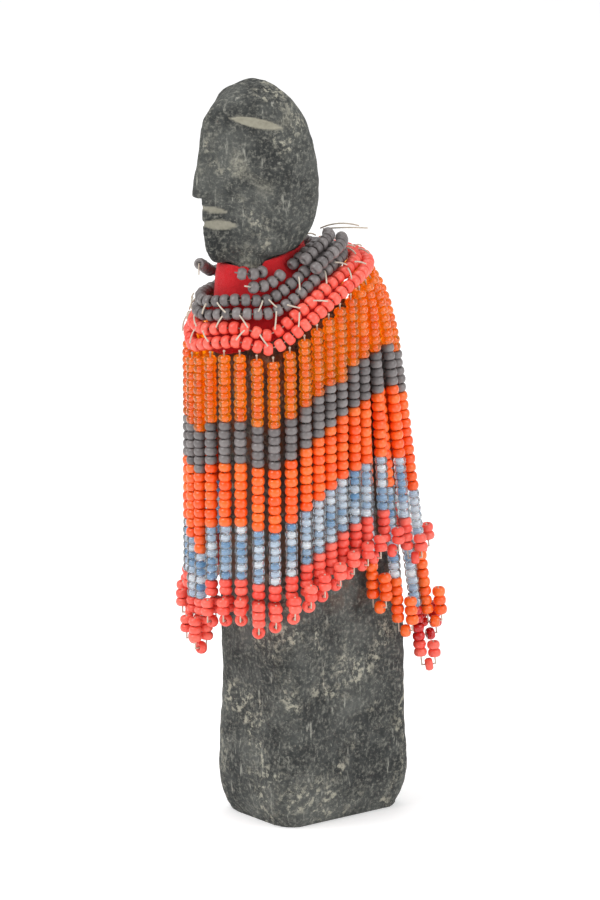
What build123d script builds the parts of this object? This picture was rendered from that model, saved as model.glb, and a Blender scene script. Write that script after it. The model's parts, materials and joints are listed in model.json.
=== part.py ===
from build123d import *
import math
import os

os.makedirs("parts", exist_ok=True)

# A carved stone doll that wears a cloth collar and a beaded cape.
# Millimetres. The origin is the centre of the base, +Z is up, the doll faces -Y and its left side is +X.
# Azimuths are in degrees about +Z: 0 is the doll's left side, -90 its front, 90 its back.

# ---- stone ----
BODY_WIDTH = 28.0
BODY_DEPTH = 38.4
HEAD_HEIGHT = 178.2
HEAD_CENTRE_X = -3.5
FACE_ANGLE = 50.0  # how far each side of the face turns back from straight ahead
SLIT_DEPTH = 0.7

# ---- beads: outside diameter and length of each kind ----
HOLE_RADIUS = 0.45
THREAD_RADIUS = 0.18
ROW_THREAD_RADIUS = 0.15
BEAD_GAP = 0.06
END_RADIUS_SHARE = 0.36  # of the diameter
BELLY_SHARE = 0.17  # of the length, each side of the middle
BEAD_SIZES = {
    "amber": (3.05, 1.70),
    "grey": (3.0, 1.94),
    "orange": (3.1, 2.12),
    "blue": (3.0, 1.76),
    "coral": (3.1, 1.88),
    "red": (3.0, 2.00),
    "row_grey": (2.9, 2.05),
    "row_coral": (3.1, 2.15),
}
BEAD_LETTERS = {"A": "amber", "G": "grey", "O": "orange", "B": "blue", "C": "coral", "R": "red"}

# ---- cape rim: the outer coral row, which every other row is measured from ----
RIM_CENTRE = (-1.75, -8.8)
RIM_HALF_WIDTH = 18.5
RIM_HALF_DEPTH = 22.0
RIM_HEIGHT = 125.05
RIM_RISE = 7.45  # the nape is this much above the mid height, and the chest this much below
RISE_SHARPNESS = 1.8
RISE_TURN = 8.0
ROW_PITCH = 3.2
ROW_GAP = 0.15

# ---- fringe ----
STRAND_COUNT = 34
FALL = 65.0  # drop over which a strand reaches its widest
HEM_CENTRE_X = -1.2
HEM_HALF_WIDTH = 19.3
HEM_BACK_SPREAD = 10.0
KNOT_RADIUS = 0.3
PIVOT_OUT = 0.3
PIVOT_DOWN = 2.1
THREAD_GAP = 1.0  # bare thread between the pivot and the first bead
LOOP_HALF_WIDTH = 1.62
STRAND_SPACING = 3.38  # nearest that two strand centre lines may come


def bump(azimuth, middle, width):
    """1 at the middle azimuth, falling to 0 over a few widths."""
    away = (azimuth - middle + 180) % 360 - 180
    return math.exp(-((away / width) ** 2))


def smooth_step(value):
    value = min(max(value, 0.0), 1.0)
    return value * value * (3 - 2 * value)


# ---- the cape's surface ----
def rim_point(azimuth):
    """Centre line of the outer coral row: low and level on the chest, steep at the shoulders, high at the nape."""
    turn = math.radians(azimuth)
    rise = math.tanh(RISE_SHARPNESS * math.sin(math.radians(azimuth + RISE_TURN)))
    height = RIM_HEIGHT + RIM_RISE * rise / math.tanh(RISE_SHARPNESS) + 1.5 * bump(azimuth, -60, 22)
    return Vector(
        RIM_CENTRE[0] + RIM_HALF_WIDTH * math.cos(turn),
        RIM_CENTRE[1] + RIM_HALF_DEPTH * math.sin(turn),
        height,
    )


def rim_directions(azimuth):
    """Unit vectors at the rim: along it, level towards the neck, and square to both, upwards."""
    along = (rim_point(azimuth + 0.5) - rim_point(azimuth - 0.5)).normalized()
    inward = Vector(-along.Y, along.X, 0).normalized()
    return along, inward, along.cross(inward)


def band_slope(azimuth):
    """How far the rows lean in from upright: little on the chest, and nearly flat at the nape."""
    back = (1 + math.sin(math.radians(azimuth))) / 2
    return math.radians(8 + 64 * back**0.75)


def band_point(row, azimuth, lift=0.0):
    """A point on the band of rows, a number of row pitches in from the rim, lifted off the band."""
    along, inward, up = rim_directions(azimuth)
    slope = band_slope(azimuth)
    in_band = up * math.cos(slope) + inward * math.sin(slope)
    off_band = up * math.sin(slope) - inward * math.cos(slope)
    sag = 2.0 * bump(azimuth, -38, 13) * smooth_step(2 - row) + 1.6 * bump(azimuth, -106, 14) * smooth_step(1 - row)
    return rim_point(azimuth) + in_band * (row * ROW_PITCH) + off_band * lift - Vector(0, 0, sag)


# ---- beads and threads ----
def bead(kind):
    """One seed bead about the Z axis: a short barrel with bevelled ends and a round hole."""
    diameter, length = BEAD_SIZES[kind]
    end_radius = END_RADIUS_SHARE * diameter
    with BuildPart() as one_bead:
        with BuildSketch(Plane.XZ):
            with BuildLine():
                Polyline(
                    (HOLE_RADIUS, -length / 2),
                    (end_radius, -length / 2),
                    (diameter / 2, -BELLY_SHARE * length),
                    (diameter / 2, BELLY_SHARE * length),
                    (end_radius, length / 2),
                    (HOLE_RADIUS, length / 2),
                    close=True,
                )
            make_face()
        revolve(axis=Axis.Z)
    return one_bead.part


BEADS = {kind: bead(kind) for kind in BEAD_SIZES}


def placed_bead(kind, point, direction):
    return BEADS[kind].moved(Plane(origin=point, z_dir=direction).location)


def thread_along(path, start, direction, radius=THREAD_RADIUS):
    """A thread swept along a path that starts at a point with a direction."""
    with BuildPart() as thread:
        with BuildSketch(Plane(origin=start, z_dir=direction)):
            Circle(radius)
        sweep(path=path, transition=Transition.RIGHT)
    return thread.part


def straight_thread(points, radius=THREAD_RADIUS):
    """A thread that runs straight from each point to the next."""
    with BuildLine() as line:
        Polyline(*points)
    return thread_along(line.wire(), points[0], points[1] - points[0], radius)


def next_step(edge, travelled, step, bevel):
    """How far on the next bead's middle is, so that two beads clear each other where their string turns."""
    here = edge % (travelled / edge.length % 1)
    there = edge % ((travelled + step) / edge.length % 1)
    return step + 2 * bevel * math.tan(math.radians(here.get_angle(there)) / 2)


def row_spots(edge, kind, gap, closed):
    """Where a row's beads sit, as distances along its edge: as many as fit without touching."""
    diameter, length = BEAD_SIZES[kind]
    bevel = END_RADIUS_SHARE * diameter + 0.1
    spots = [0.0 if closed else length / 2]
    end = edge.length if closed else edge.length - length / 2
    while True:
        spot = spots[-1] + next_step(edge, spots[-1], length + gap, bevel)
        if spot > end - (length if closed else 0):
            return spots, spot - spots[-1]
        spots.append(spot)


def beads_on(edge, kind, closed=False):
    """Beads along an edge, close together; on a ring the spare length is shared out between them."""
    spots, last_step = row_spots(edge, kind, ROW_GAP, closed)
    if closed:
        spare = edge.length - spots[-1] - last_step
        spots = [spot + spare * i / len(spots) for i, spot in enumerate(spots)]
    return [(kind, edge @ (spot / edge.length), edge % (spot / edge.length)) for spot in spots]


def row_edge(row, first=None, last=None, lift=0.0):
    """The centre line of a row: the whole ring, or the stretch between two azimuths."""
    if first is None:
        stations = [i * 10 for i in range(36)]
    else:
        steps = max(3, round((last - first) / 10))
        stations = [first + (last - first) * i / steps for i in range(steps + 1)]
    with BuildLine() as line:
        Spline(*[band_point(row, azimuth, lift) for azimuth in stations], periodic=first is None)
    return line.edge()


# ---- stone figure ----
# body and neck sections: height, centre x, centre y, width, depth, corner radius, tilt back in degrees
BODY_SECTIONS = [
    (0, 0, 0, BODY_WIDTH - 3.5, BODY_DEPTH - 4.4, 5, 0),
    (4, 0, 0, BODY_WIDTH - 0.6, BODY_DEPTH - 0.6, 5.5, 0),
    (25, 0, 0, BODY_WIDTH, BODY_DEPTH, 5.5, 0),
    (48, 0, -0.4, BODY_WIDTH, BODY_DEPTH, 5.8, 0),
    (70, -0.6, -1.6, BODY_WIDTH - 1.0, BODY_DEPTH - 1.4, 6.5, 0),
    (95, -1.8, -3.2, BODY_WIDTH - 3.2, BODY_DEPTH - 2.4, 7, 2),
    (110, -1.7, -5.2, BODY_WIDTH - 3.6, BODY_DEPTH - 3.0, 7, 6),
    (118, -1.6, -7.2, BODY_WIDTH - 5.2, BODY_DEPTH - 6.5, 8, 12),
    (125, -2.0, -9.6, BODY_WIDTH - 11.0, BODY_DEPTH - 13.0, 7, 16),
    (131, -2.4, -12.2, BODY_WIDTH - 14.6, BODY_DEPTH - 18.4, 5.5, 14),
    (139, -2.6, -14.0, BODY_WIDTH - 15.0, BODY_DEPTH - 19.4, 5.5, 10),
]
with BuildPart() as stone_figure:
    for height, x, y, width, depth, corner, tilt in BODY_SECTIONS:
        lean = math.radians(tilt)
        with BuildSketch(Plane(origin=(x, y, height), x_dir=(1, 0, 0), z_dir=(0, -math.sin(lean), math.cos(lean)))):
            RectangleRounded(width, depth, corner)
    loft()

# head sections: height at y = -16, tilt back, centre x, front ridge y, half width, back y, corner radius
HEAD_SECTIONS = [
    (137.4, 10, HEAD_CENTRE_X, -27.2, 9.6, -8.0, 5.0),
    (140.2, 9, HEAD_CENTRE_X, -29.2, 12.0, -5.6, 6.0),
    (146.0, 6, HEAD_CENTRE_X, -30.4, 13.4, -3.8, 7.0),
    (153.0, 2, HEAD_CENTRE_X, -30.9, 13.8, -3.4, 7.0),
    (162.0, 0, HEAD_CENTRE_X, -31.0, 13.6, -4.4, 7.0),
    (168.5, 2, HEAD_CENTRE_X, -30.8, 12.6, -6.4, 6.5),
    (173.2, 5, HEAD_CENTRE_X + 0.8, -29.8, 10.2, -9.0, 5.5),
    (176.2, 8, HEAD_CENTRE_X + 1.6, -26.6, 6.8, -11.4, 4.2),
    (HEAD_HEIGHT - 0.4, 9, HEAD_CENTRE_X + 1.4, -22.0, 3.4, -13.6, 2.0),
]
with BuildPart() as head:
    for height, tilt, x, ridge, half_width, back, corner in HEAD_SECTIONS:
        lean = math.radians(tilt)
        plane = Plane(origin=(x, -16, height), x_dir=(1, 0, 0), z_dir=(0, -math.sin(lean), math.cos(lean)))
        cheek = ridge + half_width * math.tan(math.radians(FACE_ANGLE))
        cheek = min(cheek, back - corner - 0.5)
        with BuildSketch(plane) as section:
            with BuildLine():
                Polyline(
                    (0, ridge + 16),
                    (half_width, cheek + 16),
                    (half_width, back + 16),
                    (-half_width, back + 16),
                    (-half_width, cheek + 16),
                    close=True,
                )
            make_face()
            corners = section.vertices().sort_by(Axis.Y)
            fillet(corners[0], 1.6)
            fillet(section.vertices().group_by(Axis.Y)[-1], corner * 0.8)
    loft()

# nose: a low ridge down the middle of the face, square-cut below its tip
NOSE_TOP = 168.6
NOSE_TIP = 152.4
with BuildPart() as nose:
    with BuildSketch(Plane.XY.offset(NOSE_TOP)):
        with Locations((HEAD_CENTRE_X, -29.2)):
            Circle(1.1)
    with BuildSketch(Plane.XY.offset(NOSE_TIP)):
        with Locations((HEAD_CENTRE_X, -30.0)):
            Circle(2.5)
    loft()


def face_slit(side, height, distance, length, width, tilt):
    """A lens-shaped cut into one side of the face; distance is measured back from the ridge along the face."""
    angle = math.radians(FACE_ANGLE)
    normal = Vector(side * math.sin(angle), -math.cos(angle), 0)
    back = Vector(side * math.cos(angle), math.sin(angle), 0)
    ridge_foot = Vector(HEAD_CENTRE_X, -30.9, height)
    plane = Plane(origin=ridge_foot + back * distance + normal * 2, x_dir=back, z_dir=normal)
    with BuildPart() as slit:
        with BuildSketch(plane):
            with BuildLine(Plane.XY.rotated((0, 0, -side * tilt))):
                ThreePointArc((-length / 2, 0), (0, width / 2), (length / 2, 0))
                ThreePointArc((length / 2, 0), (0, -width / 2), (-length / 2, 0))
            make_face()
        extrude(amount=-(2 + SLIT_DEPTH))
    return slit.part


slits = []
for side in (-1, 1):
    slits.append(face_slit(side, 170.2, 13.4, 12.8, 1.8, 11))
    slits.append(face_slit(side, 149.2, 3.2, 6.0, 1.0, 8))
    slits.append(face_slit(side, 145.6, 4.6, 8.5, 1.9, 2))
with BuildPart() as carved:
    add(stone_figure.part)
    add(head.part)
    add(nose.part)
    add(slits, mode=Mode.SUBTRACT)
stone_figure = carved
stone_figure.part.label = "stone_figure"
export_step(stone_figure.part, "parts/stone_figure.step")

# ---- cloth round the neck and under the rows ----
# sections from the jaw down to just below the rim: front y, back y, front height, back height, half width, centre x
CLOTH_WALL = 1.1
CLOTH_SECTIONS = [
    (-24.4, -2.4, 135.5, 138.9, 7.8, -2.4),
    (-25.8, -0.6, 130.3, 135.2, 8.4, -2.0),
    (-26.8, 3.6, 125.5, 132.6, 10.0, -1.2),
    (-27.8, 6.4, 119.5, 131.4, 12.2, -1.2),
    (-28.3, 7.4, 114.8, 130.2, 13.0, -1.3),
]


def cloth_skin(inset):
    with BuildPart() as skin:
        for front, back, front_height, back_height, half_width, x in CLOTH_SECTIONS:
            run = back - front
            rise = back_height - front_height
            slant = math.hypot(run, rise)
            centre = (x, (front + back) / 2, (front_height + back_height) / 2)
            with BuildSketch(Plane(origin=centre, x_dir=(1, 0, 0), z_dir=(0, -rise / slant, run / slant))):
                Ellipse(half_width - inset, slant / 2 - inset)
        loft()
    return skin.part


# the jaw and neck press into the cloth: it is hollowed by the stone, moved a little each way to leave room to turn
NECK_ROOM = 0.35
NECK_MOVES = [(NECK_ROOM, 0, 0), (-NECK_ROOM, 0, 0), (0, NECK_ROOM, 0), (0, -NECK_ROOM, 0), (0, 0, -NECK_ROOM)]
with BuildPart() as hollowed_cloth:
    add(cloth_skin(0.0))
    add(cloth_skin(CLOTH_WALL), mode=Mode.SUBTRACT)
    for move in NECK_MOVES:
        add(stone_figure.part.moved(Location(move)), mode=Mode.SUBTRACT)
with BuildPart() as neck_cloth:
    add(hollowed_cloth.solids().sort_by(SortBy.VOLUME)[-1])
neck_cloth.part.label = "neck_cloth"
export_step(neck_cloth.part, "parts/neck_cloth.step")

# ---- rows of the cape: each row's beads, and the thread that runs through them ----
row_paths = []


def row_beads(row, kind, span=(), lift=0.0):
    """A row of beads, the whole ring or a stretch of it; keeps the path of its thread."""
    edge = row_edge(row, *span, lift=lift)
    placed = beads_on(edge, kind, closed=not span)
    middles = [point for kind, point, direction in placed]
    return [placed_bead(*one) for one in placed], middles


with BuildPart() as coral_rows:
    for row in (0, 1):
        beads, middles = row_beads(row, "row_coral")
        row_paths.append(middles)
        add(beads, clean=False)
coral_rows.part.label = "coral_rows"
export_step(coral_rows.part, "parts/coral_rows.step")

with BuildPart() as grey_rows:
    for row in (2, 3):
        beads, middles = row_beads(row, "row_grey")
        row_paths.append(middles)
        add(beads, clean=False)
grey_rows.part.label = "grey_rows"
export_step(grey_rows.part, "parts/grey_rows.step")

# the innermost row is broken at the chest: it runs from the doll's left shoulder round the nape, over the cloth on
# the doll's right, and its free end stands up against the jaw with a short end of thread
BROKEN_ROW = (2, 248)
BROKEN_LIFT = 2.2  # off the band, where it crosses the cloth
BROKEN_RISE = 1.3  # of the free end, in row pitches
LOOSE_END = (1.6, 2.6)  # the thread's reach past the last bead, and its drop


def broken_row_edge():
    first, last = BROKEN_ROW
    stations = [first + (last - first) * i / 24 for i in range(25)]
    points = []
    for azimuth in stations:
        lift = BROKEN_LIFT * smooth_step((azimuth - 118) / 40)
        rise = BROKEN_RISE * smooth_step((azimuth - 205) / 43)
        points.append(band_point(4 + rise, azimuth, lift))
    with BuildLine() as line:
        Spline(*points)
    return line.edge()


with BuildPart() as broken_grey_row:
    placed = beads_on(broken_row_edge(), "row_grey")
    add([placed_bead(*one) for one in placed], clean=False)
    middles = [point for kind, point, direction in placed]
    kind, end, direction = placed[-1]
    loose_end = end + direction * LOOSE_END[0]
    row_paths.append(middles + [loose_end, loose_end - Vector(0, 0, LOOSE_END[1])])
broken_grey_row.part.label = "broken_grey_row"
export_step(broken_grey_row.part, "parts/broken_grey_row.step")

with BuildPart() as row_threads:
    for middles in row_paths:
        add(straight_thread(middles, ROW_THREAD_RADIUS))
row_threads.part.label = "row_threads"
export_step(row_threads.part, "parts/row_threads.step")

# lacing: short slanting stitches that tie each row to the next, hidden where the nape bunch lies on them
STITCHES_PER_ROW = 18
STITCH_LEAN = 5.0
NAPE_AZIMUTHS = (6, 72)
with BuildPart() as lacing_stitches:
    for row in (0, 1, 2):
        for i in range(STITCHES_PER_ROW):
            azimuth = (i + 0.35 * row) * 360 / STITCHES_PER_ROW
            lean = STITCH_LEAN if (i + row) % 2 else -STITCH_LEAN
            if row == 2 and NAPE_AZIMUTHS[0] - 8 < azimuth < NAPE_AZIMUTHS[1] + 8:
                continue
            with BuildLine() as stitch:
                ThreePointArc(
                    band_point(row + 0.12, azimuth, 1.82),
                    band_point(row + 0.5, azimuth + lean / 2, 2.05),
                    band_point(row + 0.88, azimuth + lean, 1.82),
                )
            edge = stitch.edge()
            add(thread_along(edge, edge @ 0, edge % 0), clean=False)
lacing_stitches.part.label = "lacing_stitches"
export_step(lacing_stitches.part, "parts/lacing_stitches.step")

# ---- nape: the ends of the grey rows bunched and tied, with two long thread ends ----
NAPE_LIFT = 3.05
NAPE_ROWS = (2.4, 3.45)
with BuildPart() as nape_bunch:
    nape_paths = []
    for row in NAPE_ROWS:
        beads, middles = row_beads(row, "row_grey", NAPE_AZIMUTHS, NAPE_LIFT)
        nape_paths.append(middles)
        add(beads, clean=False)
nape_bunch.part.label = "nape_bunch"
export_step(nape_bunch.part, "parts/nape_bunch.step")

# each tail: how far it reaches, and how far its two ends stand apart
NAPE_TAILS = ((11.0, 0.0), (8.5, 1.3))
with BuildPart() as nape_threads:
    for middles in nape_paths:
        add(straight_thread(middles))
    for reach, spread in NAPE_TAILS:
        start = band_point(NAPE_ROWS[1], 84 + 6 * spread, NAPE_LIFT + 0.6)
        with BuildLine() as tail:
            Spline(
                start,
                start + Vector(0.45 * reach, 0.1 * reach + spread, 1.2 + 0.3 * spread),
                start + Vector(0.75 * reach, 0.6 * reach + spread, 0.9),
            )
        edge = tail.edge()
        add(thread_along(edge, edge @ 0, edge % 0))
nape_threads.part.label = "nape_threads"
export_step(nape_threads.part, "parts/nape_threads.step")

# ---- loose flap: the broken end of the inner rows, which lies on the cloth at the chest ----
FLAP_HINGE_AZIMUTH = -4.0
FLAP_LIFT = 1.3
FLAP_ROWS = ((4.0, -5, -56), (5.0, -15, -61))  # each row's place in the band, and the azimuths of its two ends
with BuildPart() as loose_flap:
    for row, held_end, free_end in FLAP_ROWS:
        with BuildLine() as line:
            ThreePointArc(
                band_point(row, held_end, FLAP_LIFT),
                band_point(row, (held_end + free_end) / 2, FLAP_LIFT),
                band_point(row, free_end, FLAP_LIFT),
            )
        edge = line.edge()
        beads = beads_on(edge, "row_grey")
        middles = [point for kind, point, direction in beads]
        add([placed_bead(*one) for one in beads], clean=False)
        add(straight_thread([edge @ 0, *middles, edge @ 1]), clean=False)
loose_flap.part.label = "loose_flap"
export_step(loose_flap.part, "parts/loose_flap.step")


# ---- fringe strands ----
def rim_azimuths(count):
    """Azimuths that split the rim into equal lengths, starting at the doll's left."""
    steps = 720
    stations = [rim_point(i * 360 / steps) for i in range(steps + 1)]
    travelled = [0.0]
    for here, there in zip(stations, stations[1:]):
        travelled.append(travelled[-1] + (there - here).length)
    spacing = travelled[-1] / count
    found = []
    for i, length in enumerate(travelled[:-1]):
        if length >= len(found) * spacing and len(found) < count:
            found.append(i * 360 / steps)
    return found


def hem_place(azimuth):
    """Where a strand's foot hangs, seen from above: straight down in front, pushed out by the body elsewhere."""
    cosine = math.cos(math.radians(azimuth))
    sine = math.sin(math.radians(azimuth))
    reach = cosine
    if sine > 0:
        reach = math.copysign(math.sin(math.pi / 2 * min(1.0, abs(cosine) / 0.75)), cosine)
    y = RIM_CENTRE[1] + (RIM_HALF_DEPTH + 0.4) * sine + HEM_BACK_SPREAD * smooth_step((sine - 0.5) / 0.5)
    return Vector(HEM_CENTRE_X + HEM_HALF_WIDTH * reach, y, 0)


def strand_pivot(azimuth):
    """Where a strand turns: at the thread just under the rim."""
    along, inward, up = rim_directions(azimuth)
    return band_point(0, azimuth) - inward * PIVOT_OUT - Vector(0, 0, PIVOT_DOWN)


def strand_point(azimuth, drop):
    """A point of an outer strand, some way down from its pivot."""
    top = strand_pivot(azimuth)
    share = drop / FALL
    spread = 0.35 * (1 - math.exp(-share / 0.1)) + 0.65 * share
    hem = hem_place(azimuth)
    x = top.X + (hem.X - top.X) * spread
    y = top.Y + (hem.Y - top.Y) * spread
    return Vector(x, y, top.Z - drop)


# beads from the rim down, one letter each, then the loop's kind and its beads per side
COMMON_STRAND = ("A" * 9 + "G" * 5 + "O" * 7 + "B" * 7 + "CC", "coral", 2)
BACK_STRAND = ("A" * 10 + "G" * 5 + "O" * 8 + "B" * 8 + "CC", "coral", 2)
SPECIAL_STRANDS = {
    2: ("A" * 10 + "G" * 4 + "O" * 7 + "B" * 7 + "CC", "coral", 2),
    6: ("A" * 9 + "G" * 5 + "O" * 8 + "B" * 8 + "CC", "coral", 2),
    7: ("A" * 11 + "G" * 5 + "O" * 11 + "B" * 7 + "OOOOO", "orange", 3),
    25: ("A" * 9 + "G" * 5 + "O" * 8 + "B" * 8 + "CC", "coral", 2),
    26: ("A" * 10 + "G" * 5 + "O" * 9 + "B" * 6 + "CC", "coral", 3),
    30: ("A" * 9 + "G" * 5 + "O" * 7 + "B" * 7 + "CC", "coral", 3),
}
# the under layer, by the number of the outer strand before it: each hangs in the gap between two outer strands
UNDER_LAYER = {
    4: ("A" * 9 + "G" * 5 + "O" * 10 + "B" * 9 + "OO", "orange", 3),
    5: ("A" * 9 + "G" * 5 + "O" * 11 + "B" * 12 + "OO", "orange", 3),
    6: ("A" * 10 + "G" * 5 + "O" * 12 + "B" * 15 + "RRRR", "coral", 2),
    7: ("A" * 10 + "G" * 5 + "O" * 12 + "B" * 12 + "RRR", "red", 3),
}


def outer_recipe(number, azimuth):
    """The beads of an outer strand: longer at the back, and a few that differ."""
    if number in SPECIAL_STRANDS:
        return SPECIAL_STRANDS[number]
    return BACK_STRAND if math.sin(math.radians(azimuth)) > 0.8 else COMMON_STRAND


def under_point(azimuths, drop):
    """A point of an under strand: midway between its two outer neighbours, and just far enough in to clear them."""
    first, second = [strand_point(azimuth, drop) for azimuth in azimuths]
    across = Vector(second.X - first.X, second.Y - first.Y, 0)
    half = min(across.length / 2, 0.95 * STRAND_SPACING)
    inset = math.sqrt(STRAND_SPACING**2 - half**2)
    return (first + second) / 2 + Vector(-across.Y, across.X, 0).normalized() * inset


def strand_layout(azimuths, recipe, loop_kind, side_beads, loop_offset, twist):
    """Beads as kind, point and direction, and the points of two threads: the hanging one, from the pivot, and the loop."""
    kinds = [BEAD_LETTERS[letter] for letter in recipe]
    length = 1.01 * (THREAD_GAP + sum(BEAD_SIZES[kind][1] + BEAD_GAP for kind in kinds))
    drops = [length * share for share in (0, 0.06, 0.14, 0.26, 0.42, 0.6, 0.8, 1)]
    with BuildLine() as drape:
        if len(azimuths) == 2:
            Spline(*[under_point(azimuths, drop) for drop in drops])
        else:
            Spline(*[strand_point(azimuths[0], drop) for drop in drops])
    edge = drape.edge()
    beads = []
    travelled = THREAD_GAP
    before = 0.0
    for kind in kinds:
        diameter, size = BEAD_SIZES[kind]
        if beads:
            travelled += next_step(edge, travelled, (before + size) / 2 + BEAD_GAP, END_RADIUS_SHARE * diameter)
        else:
            travelled += size / 2
        before = size
        beads.append((kind, edge @ (travelled / edge.length), edge % (travelled / edge.length)))
    travelled += before / 2 + BEAD_GAP
    foot = edge @ (travelled / edge.length)
    down = edge % (travelled / edge.length)
    string = [edge @ 0, *[point for kind, point, direction in beads[:5]]]
    string += [point for kind, point, direction in beads[7::3]]
    string.append(edge @ (0.999 * travelled / edge.length))

    # the loop lies in the plane of the strand and the outward direction, turned a little
    along, inward, up = rim_directions(sum(azimuths) / len(azimuths))
    outward = (inward * -1).rotate(Axis.Z, twist)
    outward = (outward - down * outward.dot(down)).normalized()
    diameter, size = BEAD_SIZES[loop_kind]
    size += BEAD_GAP
    near, far = loop_offset - LOOP_HALF_WIDTH, loop_offset + LOOP_HALF_WIDTH
    straight = abs(near) < 0.1
    near_start = 0.0 if straight else 0.6
    far_start = 0.5 if straight else 0.6
    bottom = far_start + side_beads * size + diameter / 2 + 0.1

    def in_loop(out, below):
        return foot + outward * out + down * below

    for i in range(side_beads):
        middle = (i + 0.5) * size
        beads.append((loop_kind, in_loop(near, near_start + middle), down))
        beads.append((loop_kind, in_loop(far, far_start + middle), down))
    beads.append((loop_kind, in_loop(loop_offset, bottom), outward))

    turns = [in_loop(0, -0.02)]
    if not straight:
        turns += [in_loop(0, 0.2), in_loop(near, 0.5)]
    turns += [in_loop(near, bottom), in_loop(far, bottom), in_loop(far, far_start - 0.1)]
    return beads, (string, turns)


def strand(layout, knot):
    """A strand of beads on one thread, which hangs from the rim and ends in a loop of beads."""
    beads, threads = layout
    with BuildPart() as finished:
        add([placed_bead(*one) for one in beads], clean=False)
        for points in threads:
            add(straight_thread(points), clean=False)
        if knot:
            with Locations(threads[0][0]):
                Sphere(KNOT_RADIUS)
    return finished.part


strand_azimuths = rim_azimuths(STRAND_COUNT)
for number, azimuth in enumerate(strand_azimuths, start=1):
    recipe, loop_kind, side_beads = outer_recipe(number, azimuth)
    beside_body = math.sin(math.radians(azimuth)) > -0.55
    loop_offset = LOOP_HALF_WIDTH if beside_body else 0.0
    twist = 8 * math.sin(0.5 * number)
    name = f"strand_{number:02d}"
    finished = strand(strand_layout([azimuth], recipe, loop_kind, side_beads, loop_offset, twist), knot=True)
    finished.label = name
    export_step(finished, f"parts/{name}.step")

for number, (recipe, loop_kind, side_beads) in UNDER_LAYER.items():
    azimuths = strand_azimuths[number - 1 : number + 1]
    name = f"under_strand_{number:02d}"
    layout = strand_layout(azimuths, recipe, loop_kind, side_beads, LOOP_HALF_WIDTH, 0.0)
    finished = strand(layout, knot=False)
    finished.label = name
    export_step(finished, f"parts/{name}.step")
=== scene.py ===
import json
import math
import bpy
import numpy as np
from mathutils import Matrix, Vector, noise


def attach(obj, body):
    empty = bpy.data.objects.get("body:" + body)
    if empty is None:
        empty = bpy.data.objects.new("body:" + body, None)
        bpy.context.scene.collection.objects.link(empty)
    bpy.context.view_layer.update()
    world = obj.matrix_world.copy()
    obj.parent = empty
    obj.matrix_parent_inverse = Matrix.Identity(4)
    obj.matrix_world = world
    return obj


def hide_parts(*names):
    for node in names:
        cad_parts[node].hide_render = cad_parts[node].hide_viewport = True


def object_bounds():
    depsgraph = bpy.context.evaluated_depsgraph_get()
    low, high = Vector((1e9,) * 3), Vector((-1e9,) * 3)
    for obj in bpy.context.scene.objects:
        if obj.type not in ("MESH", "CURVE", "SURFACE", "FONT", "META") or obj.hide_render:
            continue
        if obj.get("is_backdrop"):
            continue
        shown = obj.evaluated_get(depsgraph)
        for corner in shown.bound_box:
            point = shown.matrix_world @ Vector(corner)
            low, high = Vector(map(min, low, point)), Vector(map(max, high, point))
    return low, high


# Visual model of the carved stone doll with its beaded cape. Metres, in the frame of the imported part.
MM = 0.001
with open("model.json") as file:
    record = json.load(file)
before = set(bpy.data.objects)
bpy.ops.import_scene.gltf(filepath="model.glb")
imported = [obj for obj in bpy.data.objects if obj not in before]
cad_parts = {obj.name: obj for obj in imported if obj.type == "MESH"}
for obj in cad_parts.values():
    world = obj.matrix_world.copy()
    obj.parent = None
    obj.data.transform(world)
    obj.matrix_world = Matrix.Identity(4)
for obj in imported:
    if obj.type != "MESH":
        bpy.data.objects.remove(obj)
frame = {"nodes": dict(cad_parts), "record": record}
bounds_at_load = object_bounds()
random = np.random.default_rng(7)

# ---- sizes shared with the part, in millimetres ----
BEAD_KINDS = {  # diameter, length, hole radius
    "amber": (3.05, 1.70, 0.50),
    "blue": (3.0, 1.76, 0.66),
    "coral": (3.1, 1.88, 0.34),
    "grey": (3.0, 1.94, 0.34),
    "red": (3.0, 2.00, 0.34),
    "orange": (3.1, 2.12, 0.34),
    "row_grey": (2.9, 2.05, 0.34),
    "row_coral": (3.1, 2.15, 0.34),
}
LININGS = {"blue": "lining", "amber": "amber_core"}  # clear beads have another colour on the wall of the hole
FRINGE_KINDS = ("amber", "blue", "coral", "grey", "red", "orange")
LENGTH_TOLERANCE = 0.025
BEAD_EXTENT = 3.6  # no single bead is wider than this
THREAD_SPREAD = 0.45  # touching beads are thicker than this through the middle, and threads thinner
SIDES = 22
OUTSIDE_RINGS = 13
HOLE_WALL_SHARE = 0.32  # of a bead's length, above and below its middle
BEAD_SIZE_SPREAD = 0.02
BEAD_SIZE_LIMITS = (0.95, 1.03)
BEAD_SHIFT = 0.035
BEAD_LEAN = 0.06  # in radians
HEAD_CENTRE_X = -3.5
FACE_ANGLE = math.radians(50)
FACE_RIDGE_Y = -30.9


# ---- materials ----
def srgb(red, green, blue):
    """A colour given as it looks on screen, 0 to 255, as the linear values that materials use."""
    linear = [((c / 255 + 0.055) / 1.055) ** 2.4 if c > 10 else c / 255 / 12.92 for c in (red, green, blue)]
    return (*linear, 1.0)


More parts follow.
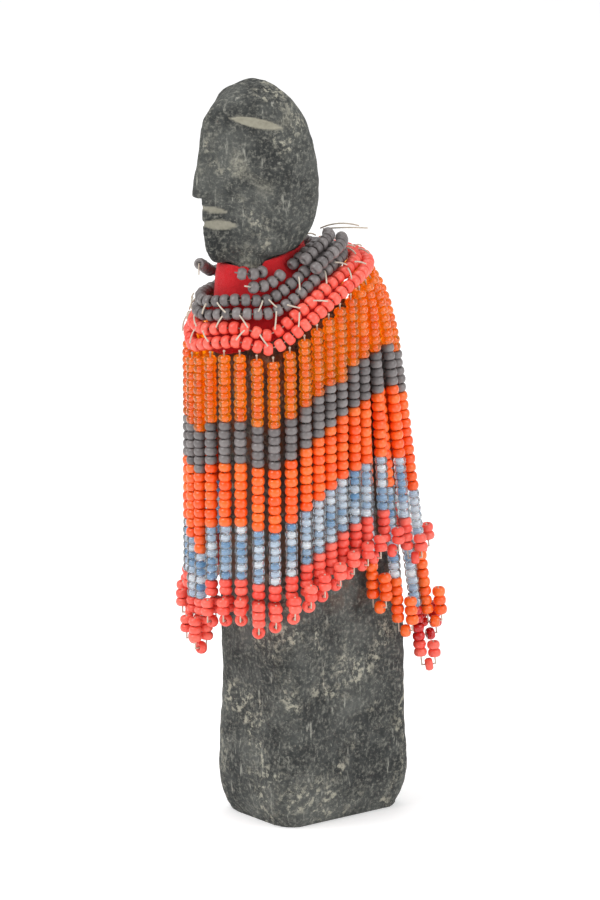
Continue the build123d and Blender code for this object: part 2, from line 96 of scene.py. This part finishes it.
class Nodes:
    """Short calls to build a material's node tree."""

    def __init__(self, name):
        self.material = bpy.data.materials.new(name)
        self.material.use_nodes = True
        self.tree = self.material.node_tree
        self.shader = self.tree.nodes["Principled BSDF"]

    def add(self, kind, **settings):
        node = self.tree.nodes.new(kind)
        for key, value in settings.items():
            if key in node.inputs:
                node.inputs[key].default_value = value
            else:
                setattr(node, key, value)
        return node

    def link(self, source, target):
        self.tree.links.new(source, target)
        return target

    def place(self):
        return self.add("ShaderNodeNewGeometry").outputs["Position"]

    def noise(self, scale, detail=4.0, rough=0.6, stretch=None, distortion=0.0):
        texture = self.add("ShaderNodeTexNoise", Scale=scale, Detail=detail, Roughness=rough)
        texture.inputs["Distortion"].default_value = distortion
        where = self.place()
        if stretch:
            mapping = self.add("ShaderNodeMapping")
            mapping.inputs["Scale"].default_value = stretch["scale"]
            mapping.inputs["Rotation"].default_value = stretch["turn"]
            self.link(where, mapping.inputs["Vector"])
            where = mapping.outputs["Vector"]
        self.link(where, texture.inputs["Vector"])
        return texture.outputs["Fac"]

    def steps(self, value, low, high):
        """0 below low, 1 above high, smooth between."""
        ramp = self.add("ShaderNodeMapRange", interpolation_type="SMOOTHSTEP")
        ramp.inputs["From Min"].default_value = low
        ramp.inputs["From Max"].default_value = high
        self.link(value, ramp.inputs["Value"])
        return ramp.outputs["Result"]

    def times(self, first, second):
        product = self.add("ShaderNodeMath", operation="MULTIPLY")
        self.link(first, product.inputs[0])
        if isinstance(second, float):
            product.inputs[1].default_value = second
        else:
            self.link(second, product.inputs[1])
        return product.outputs[0]

    def blend(self, share, first, second):
        """One colour over another; each is a colour or a socket."""
        mix = self.add("ShaderNodeMix", data_type="RGBA")
        self.link(share, mix.inputs["Factor"])
        for value, socket in ((first, mix.inputs[6]), (second, mix.inputs[7])):
            if isinstance(value, tuple):
                socket.default_value = value
            else:
                self.link(value, socket)
        return mix.outputs[2]

    def attribute(self, name):
        return self.add("ShaderNodeAttribute", attribute_name=name).outputs["Fac"]

    def bump(self, height, distance, strength=1.0, under=None):
        node = self.add("ShaderNodeBump", Strength=strength, Distance=distance * MM)
        self.link(height, node.inputs["Height"])
        if under:
            self.link(under, node.inputs["Normal"])
        self.link(node.outputs["Normal"], self.shader.inputs["Normal"])
        return node.outputs["Normal"]


def bead_material(name, dark, light, roughness, clear=0.0, coat=0.3, glow=0.0):
    """Bead glass: its colour runs from dark to light bead by bead, with faint clouding inside each.
    Glow stands for the light that clear glass gathers from behind."""
    made = Nodes(name)
    cloud = made.noise(900, detail=2.0)
    tone = made.blend(made.attribute("tone"), dark, light)
    shade = made.blend(made.times(cloud, 0.35), tone, dark)
    made.link(shade, made.shader.inputs["Base Color"])
    made.shader.inputs["Roughness"].default_value = roughness
    made.shader.inputs["Transmission Weight"].default_value = clear
    made.shader.inputs["IOR"].default_value = 1.5
    made.link(tone, made.shader.inputs["Emission Color"])
    made.shader.inputs["Emission Strength"].default_value = glow
    made.shader.inputs["Coat Weight"].default_value = coat
    made.shader.inputs["Coat Roughness"].default_value = 0.12
    made.bump(made.noise(2400, detail=2.0), 0.03, 0.35)
    return made.material


def thread_material():
    made = Nodes("cream_thread")
    colour = made.blend(made.noise(1500), srgb(176, 164, 146), srgb(226, 216, 200))
    made.link(colour, made.shader.inputs["Base Color"])
    made.shader.inputs["Roughness"].default_value = 0.85
    wave = made.add("ShaderNodeTexWave", Scale=900.0, Distortion=3.0)
    made.link(made.place(), wave.inputs["Vector"])
    made.bump(wave.outputs["Fac"], 0.08, 0.6)
    return made.material


def felt_material():
    made = Nodes("red_felt")
    fibres = made.noise(1400, detail=8.0, rough=0.75, distortion=1.5)
    patches = made.noise(160, detail=5.0)
    base = made.blend(patches, srgb(176, 2, 12), srgb(222, 8, 24))
    made.link(made.blend(made.times(fibres, 0.5), base, srgb(228, 40, 50)), made.shader.inputs["Base Color"])
    made.shader.inputs["Roughness"].default_value = 0.95
    made.shader.inputs["Sheen Weight"].default_value = 0.12
    made.bump(fibres, 0.35, 0.9)
    return made.material


def stone_material():
    """Dark soapstone: mottled grey, pale scratches, cream crust in patches, pale cuts, and a brown tint under
    the cape that is painted light from the amber beads.
    """
    made = Nodes("soapstone")
    mottle = made.noise(95, detail=9.0, rough=0.68)
    grain = made.noise(1100, detail=6.0, rough=0.7)
    colour = made.blend(made.steps(mottle, 0.32, 0.68), srgb(38, 40, 40), srgb(84, 86, 83))
    colour = made.blend(made.times(made.steps(grain, 0.45, 0.75), 0.55), colour, srgb(158, 157, 146))
    scratches = made.noise(240, detail=5.0, stretch={"scale": (3.4, 3.4, 0.8), "turn": (0.5, 0.35, 0.4)})
    strokes = made.noise(300, detail=4.0, stretch={"scale": (0.8, 3.6, 3.6), "turn": (0.3, 0.9, 0.6)})
    colour = made.blend(made.times(made.steps(scratches, 0.60, 0.72), 0.55), colour, srgb(176, 175, 164))
    colour = made.blend(made.times(made.steps(strokes, 0.62, 0.74), 0.45), colour, srgb(168, 167, 156))
    deep = made.noise(170, detail=8.0, rough=0.8)
    colour = made.blend(made.times(made.steps(deep, 0.58, 0.70), 0.8), colour, srgb(38, 39, 37))
    patches = made.steps(made.noise(70, detail=3.0), 0.50, 0.62)
    flecks = made.steps(made.noise(620, detail=8.0, rough=0.7), 0.50, 0.60)
    colour = made.blend(made.times(made.times(patches, flecks), 0.62), colour, srgb(188, 184, 166))
    chalk = made.times(made.attribute("chalky"), made.steps(grain, 0.3, 0.6))
    colour = made.blend(chalk, colour, srgb(186, 182, 164))
    # painted light: a brown tint in noisy patches under the cape, standing for amber light passed through the
    # beads onto the stone
    amber_light_patches = made.times(made.attribute("painted_amber_light"), made.steps(made.noise(260, detail=6.0), 0.40, 0.62))
    colour = made.blend(made.times(amber_light_patches, 0.8), colour, srgb(122, 72, 38))
    fresh = made.blend(made.noise(900, detail=5.0), srgb(128, 125, 110), srgb(178, 174, 158))
    colour = made.blend(made.attribute("cut"), colour, fresh)
    made.link(colour, made.shader.inputs["Base Color"])
    made.shader.inputs["Roughness"].default_value = 0.78
    made.shader.inputs["Specular IOR Level"].default_value = 0.3
    under = made.bump(scratches, 0.30, 0.5)
    under = made.bump(grain, 0.16, 0.7, under)
    made.bump(deep, 0.35, 0.45, under)
    return made.material


MATERIALS = {
    "amber": bead_material("amber_glass", srgb(252, 136, 4), srgb(255, 166, 34), 0.04, clear=0.85, glow=0.10),
    "blue": bead_material("clear_glass", srgb(222, 234, 240), srgb(252, 253, 254), 0.03, clear=0.92),
    "lining": bead_material("blue_lining", srgb(84, 150, 202), srgb(252, 253, 254), 0.5, coat=0.0, glow=0.35),
    "amber_core": bead_material("amber_core", srgb(232, 96, 6), srgb(255, 146, 44), 0.5, coat=0.0, glow=0.22),
    "coral": bead_material("coral_glass", srgb(238, 74, 58), srgb(255, 112, 94), 0.42),
    "grey": bead_material("grey_glass", srgb(98, 92, 92), srgb(134, 127, 126), 0.40),
    "red": bead_material("red_glass", srgb(190, 10, 12), srgb(224, 36, 26), 0.20),
    "orange": bead_material("orange_glass", srgb(252, 84, 10), srgb(255, 116, 34), 0.30),
    "thread": thread_material(),
    "felt": felt_material(),
    "stone": stone_material(),
}
MATERIALS["row_grey"] = MATERIALS["grey"]
MATERIALS["row_coral"] = MATERIALS["coral"]


# ---- reading the part's beads ----
def islands(mesh):
    """The separate shells of a mesh: welded corners in millimetres, triangles, and each triangle's shell."""
    points = np.zeros(len(mesh.vertices) * 3)
    mesh.vertices.foreach_get("co", points)
    points = points.reshape(-1, 3) / MM
    mesh.calc_loop_triangles()
    triangles = np.zeros(len(mesh.loop_triangles) * 3, int)
    mesh.loop_triangles.foreach_get("vertices", triangles)
    first, weld = np.unique(np.round(points, 3), axis=0, return_index=True, return_inverse=True)[1:]
    points = points[first]
    triangles = weld.ravel()[triangles.reshape(-1, 3)]
    label = np.arange(len(points))
    while True:
        lowest = label[triangles].min(axis=1)
        spread = label.copy()
        for corner in range(3):
            np.minimum.at(spread, triangles[:, corner], lowest)
        spread = spread[spread]
        if (spread == label).all():
            return points, triangles, label[triangles[:, 0]]
        label = spread


def revolved_axis(points):
    """The axis of a turned shape, from the odd one out of its three spreads."""
    spread, axes = np.linalg.eigh(np.cov(points.T))
    odd = 0 if spread[1] - spread[0] > spread[2] - spread[1] else 2
    return axes[:, odd]


def bead_kind(points, kinds):
    """(kind, middle, axis) of a shell, or None if it isn't a single bead."""
    if (np.ptp(points, axis=0) > BEAD_EXTENT).any():
        return None
    middle = (points.max(axis=0) + points.min(axis=0)) / 2
    axis = revolved_axis(points)
    length = np.ptp(points @ axis)
    for kind in kinds:
        if abs(length - BEAD_KINDS[kind][1]) < LENGTH_TOLERANCE:
            return kind, middle, axis
    return None


# ---- visual beads ----
def bead_rings(kind):
    """Radius and height of each ring of a bead: first the hole's wall, then round the outside."""
    diameter, length, hole = BEAD_KINDS[kind]
    wall = (diameter / 2 - hole) / 2
    middle = diameter / 2 - wall
    rings = [(hole, length * HOLE_WALL_SHARE), (hole, -length * HOLE_WALL_SHARE)]
    for i in range(OUTSIDE_RINGS):
        turn = math.radians(-150 + 300 * i / (OUTSIDE_RINGS - 1))
        rings.append((middle + wall * math.cos(turn), length / 2 * math.sin(turn)))
    return rings


def bead_shape(kind):
    """A bead about Z in millimetres: points, quads, and whether each quad is the hole's wall."""
    rings = bead_rings(kind)
    turns = np.arange(SIDES) * 2 * math.pi / SIDES
    circle = np.stack([np.cos(turns), np.sin(turns), np.ones(SIDES)], axis=1)
    points = np.concatenate([circle * (radius, radius, height) for radius, height in rings])
    quads = []
    for ring in range(len(rings)):
        after = (ring + 1) % len(rings)
        for side in range(SIDES):
            beside = (side + 1) % SIDES
            near, far = ring * SIDES, after * SIDES
            quads.append((near + side, near + beside, far + beside, far + side))
    quads = np.array(quads)
    walls = np.arange(len(quads)) < SIDES
    return points, quads, walls


SHAPES = {kind: bead_shape(kind) for kind in BEAD_KINDS}


def turn_to(axis, lean):
    """A rotation that takes Z to an axis, then leans it by a small random angle."""
    steady = Vector((0, 0, 1)).rotation_difference(Vector(axis)).to_matrix()
    spin = Matrix.Rotation(random.uniform(0, 2 * math.pi), 3, "Z")
    tilt = Matrix.Rotation(random.normal(0, lean), 3, "X") @ Matrix.Rotation(random.normal(0, lean), 3, "Y")
    return np.array(steady @ tilt @ spin)


class Piece:
    """Collects shapes with materials and bead tones, and makes one mesh object of them."""

    def __init__(self, name):
        self.name = name
        self.points, self.faces, self.slots, self.tones, self.materials = [], [], [], [], []
        self.count = 0

    def slot(self, key):
        if key not in self.materials:
            self.materials.append(key)
        return self.materials.index(key)

    def take(self, points, faces, keys, tone):
        self.points.append(points)
        self.faces += [tuple(face) for face in (faces + self.count).tolist()]
        self.slots.append(keys)
        self.tones.append(np.full(len(points), tone))
        self.count += len(points)

    def bead(self, kind, middle, axis):
        points, quads, walls = SHAPES[kind]
        size = 1 + random.normal(0, BEAD_SIZE_SPREAD, 3)
        spot = middle + random.normal(0, BEAD_SHIFT, 3)
        placed = (points * np.clip(size, *BEAD_SIZE_LIMITS)) @ turn_to(axis, BEAD_LEAN).T + spot
        lining = self.slot(LININGS.get(kind, kind))
        self.take(placed, quads, np.where(walls, lining, self.slot(kind)), random.uniform())

    def make(self, body, node):
        mesh = bpy.data.meshes.new(self.name)
        mesh.from_pydata((np.concatenate(self.points) * MM).tolist(), [], self.faces)
        for key in self.materials:
            mesh.materials.append(MATERIALS[key])
        mesh.polygons.foreach_set("material_index", np.concatenate(self.slots).astype(np.int32))
        tone = mesh.attributes.new("tone", "FLOAT", "POINT")
        tone.data.foreach_set("value", np.concatenate(self.tones).astype(np.float32))
        mesh.shade_smooth()
        mesh.update()
        made = bpy.data.objects.new(self.name, mesh)
        bpy.context.scene.collection.objects.link(made)
        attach(made, body)
        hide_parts(node)


def beaded_piece(node, body, kinds, other):
    """A piece of smooth beads in place of a CAD node; what isn't a bead keeps its own shape."""
    points, triangles, shell = islands(frame["nodes"][node].data)
    piece = Piece(node + "_look")
    for one in np.unique(shell):
        faces = triangles[shell == one]
        used, faces = np.unique(faces, return_inverse=True)
        corners = points[used]
        found = bead_kind(corners, kinds)
        if found:
            piece.bead(*found)
        else:
            spread = np.sqrt(np.linalg.eigvalsh(np.cov(corners.T))[0])
            key = other if spread > THREAD_SPREAD else "thread"
            faces = faces.reshape(-1, 3)
            piece.take(corners, faces, np.full(len(faces), piece.slot(key)), 0.5)
    piece.make(body, node)


bodies = frame["record"]["behaviour"]["bodies"]
body_of_node = {node: body for body, nodes in bodies.items() for node in nodes}
for node, body in sorted(body_of_node.items()):
    if node.startswith(("strand_", "under_strand_")):
        beaded_piece(node, body, FRINGE_KINDS, "thread")
beaded_piece("coral_rows", "cape", ("row_coral",), "row_coral")
for node in ("grey_rows", "broken_grey_row", "nape_bunch", "loose_flap"):
    beaded_piece(node, body_of_node[node], ("row_grey",), "row_grey")
for node in ("row_threads", "lacing_stitches", "nape_threads"):
    carried = frame["nodes"][node]
    carried.data.materials.clear()
    carried.data.materials.append(MATERIALS["thread"])


# ---- stone and cloth ----
def soft_copy(node, voxel):
    """An even mesh of a CAD node that can be shaped."""
    made = bpy.data.objects.new(node + "_look", frame["nodes"][node].data.copy())
    bpy.context.scene.collection.objects.link(made)
    remesh = made.modifiers.new("even", "REMESH")
    remesh.mode = "VOXEL"
    remesh.voxel_size = voxel * MM
    graph = bpy.context.evaluated_depsgraph_get()
    made.data = bpy.data.meshes.new_from_object(made.evaluated_get(graph))
    made.modifiers.clear()
    return made


def mesh_arrays(mesh):
    points = np.zeros(len(mesh.vertices) * 3)
    normals = np.zeros(len(mesh.vertices) * 3)
    mesh.vertices.foreach_get("co", points)
    mesh.vertices.foreach_get("normal", normals)
    return points.reshape(-1, 3) / MM, normals.reshape(-1, 3)


def smooth_noise(points, size, seed):
    """Noise between -1 and 1 at each point, with features of a size in millimetres."""
    return np.array([noise.noise(Vector(p) / size + Vector((seed, 0, 0))) for p in points.tolist()])


def slit_mask(points, height, distance, length, width, tilt):
    """1 inside a lens-shaped cut on either side of the face."""
    mask = np.zeros(len(points))
    for side in (-1, 1):
        back = np.array([side * math.cos(FACE_ANGLE), math.sin(FACE_ANGLE), 0])
        offset = points - np.array([HEAD_CENTRE_X, FACE_RIDGE_Y, height])
        along = offset @ back - distance
        slope = math.tan(math.radians(tilt))
        above = offset[:, 2] + along * slope
        half = width / 2 * np.clip(1 - (2 * along / length) ** 2, 0, 1)
        front = (points[:, 1] < -14) & (np.sign(points[:, 0] - HEAD_CENTRE_X) == side)
        mask = np.maximum(mask, np.clip((half - np.abs(above)) / 0.3 + 0.8, 0, 1) * front * (half > 0))
    return mask


SLITS = (  # how pale the cut is, and its height, distance back, length, width and tilt: eye, upper lip, mouth
    (1.0, (170.2, 13.4, 12.8, 2.0, 11)),
    (0.8, (149.2, 3.4, 6.5, 1.2, 8)),
    (0.8, (145.6, 4.6, 8.5, 2.2, 2)),
)
AMBER_LIGHT_FROM = 50  # painted light: the stone is tinted brown between these heights, under the cape, for the amber light the beads pass onto it
AMBER_LIGHT_TO = 128
CHIN_HEIGHT = 135  # the head's chalky patches are above this
FLAT_BASE = 0.6  # below this the base stays flat
stone = soft_copy("stone_figure", 0.5)
points, normals = mesh_arrays(stone.data)
facets = np.abs(smooth_noise(points * (1, 1, 0.5), 7.0, 3.0)) * 0.5
chips = smooth_noise(points, 2.6, 11.0)
pits = smooth_noise(points, 1.1, 23.0)
lift = -facets + 0.16 * chips - 0.22 * np.clip(pits - 0.25, 0, 1)
cut = np.zeros(len(points))
for paleness, place in SLITS:
    cut = np.maximum(cut, paleness * slit_mask(points, *place))
lift = lift * (1 - cut) - 0.3 * cut
lift[points[:, 2] < FLAT_BASE] = 0
shaped = points + normals * lift[:, None]
stone.data.vertices.foreach_set("co", (shaped * MM).ravel())
for name, values in {
    "cut": cut,
    # painted amber light under the cape, between the two heights given above
    "painted_amber_light": np.clip((points[:, 2] - AMBER_LIGHT_FROM) / 20, 0, 1) * np.clip((AMBER_LIGHT_TO - points[:, 2]) / 6, 0, 1),
    "chalky": np.clip(smooth_noise(points, 9.0, 40.0) * 2.2 - 0.55, 0, 1) * (points[:, 2] > CHIN_HEIGHT),
}.items():
    stone.data.attributes.new(name, "FLOAT", "POINT").data.foreach_set("value", values.astype(np.float32))
stone.data.materials.clear()
stone.data.materials.append(MATERIALS["stone"])
stone.data.shade_smooth()
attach(stone, "figure")
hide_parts("stone_figure")

cloth = soft_copy("neck_cloth", 0.35)
points, normals = mesh_arrays(cloth.data)
folds = smooth_noise(points * (1, 1, 0.45), 4.5, 60.0) * 0.22 + smooth_noise(points, 0.9, 70.0) * 0.10
cloth.data.vertices.foreach_set("co", ((points + normals * folds[:, None]) * MM).ravel())
cloth.data.materials.clear()
cloth.data.materials.append(MATERIALS["felt"])
cloth.data.shade_smooth()
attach(cloth, "cape")
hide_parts("neck_cloth")

# ---- studio ----
TARGET = Vector((-1.9, -2.4, 86.7)) * MM
TO_CAMERA = Vector((0.7575, -0.5922, 0.2756)).normalized()
CAMERA_DISTANCE = 5.0
LAMP_DISTANCE = 0.8
FLOOR_SIZE = 6
SEEN_HEIGHT = 0.2102  # what the camera sees from top to bottom at the doll
SENSOR = 36.0


def aimed(made, place, target):
    made.location = place
    made.rotation_euler = (target - place).to_track_quat("-Z", "Y").to_euler()
    bpy.context.scene.collection.objects.link(made)
    return made


lens = bpy.data.cameras.new("camera")
lens.sensor_fit = "VERTICAL"
lens.sensor_height = SENSOR
lens.lens = SENSOR * CAMERA_DISTANCE / SEEN_HEIGHT
camera = aimed(bpy.data.objects.new("camera", lens), TARGET + TO_CAMERA * CAMERA_DISTANCE, TARGET)
bpy.context.scene.camera = camera

LIGHTS = {  # direction from the doll, size in metres, power in watts
    "key": ((-0.2, -1.0, 0.9), 0.5, 3.2),
    "side": ((1.0, 0.35, 0.5), 0.6, 2.6),
    "top": ((-0.2, 0.1, 1.0), 0.6, 2.6),
}
for name, (direction, size, power) in LIGHTS.items():
    lamp = bpy.data.lights.new(name, "AREA")
    lamp.size = size
    lamp.energy = power
    aimed(bpy.data.objects.new(name, lamp), TARGET + Vector(direction).normalized() * LAMP_DISTANCE, TARGET)

world = bpy.data.worlds.new("studio")
bpy.context.scene.world = world
world.use_nodes = True
world.node_tree.nodes["Background"].inputs["Color"].default_value = (1, 1, 1, 1)
world.node_tree.nodes["Background"].inputs["Strength"].default_value = 0.5

bpy.ops.mesh.primitive_plane_add(size=FLOOR_SIZE)
floor = bpy.context.object
floor.name = "floor"
paper = Nodes("paper")
tint = paper.blend(paper.noise(30), (0.93, 0.93, 0.93, 1), (0.96, 0.96, 0.96, 1))
paper.link(tint, paper.shader.inputs["Base Color"])
paper.shader.inputs["Roughness"].default_value = 0.9
paper.shader.inputs["Emission Color"].default_value = (1, 1, 1, 1)
paper.shader.inputs["Emission Strength"].default_value = 0.3
floor.data.materials.append(paper.material)
floor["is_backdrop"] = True
bpy.context.scene.view_settings.view_transform = "Standard"


def plain(value):
    """Corners as plain lists."""
    return [plain(item) for item in value] if hasattr(value, "__len__") else float(value)


{"at_load": plain(bounds_at_load), "now": plain(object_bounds())}
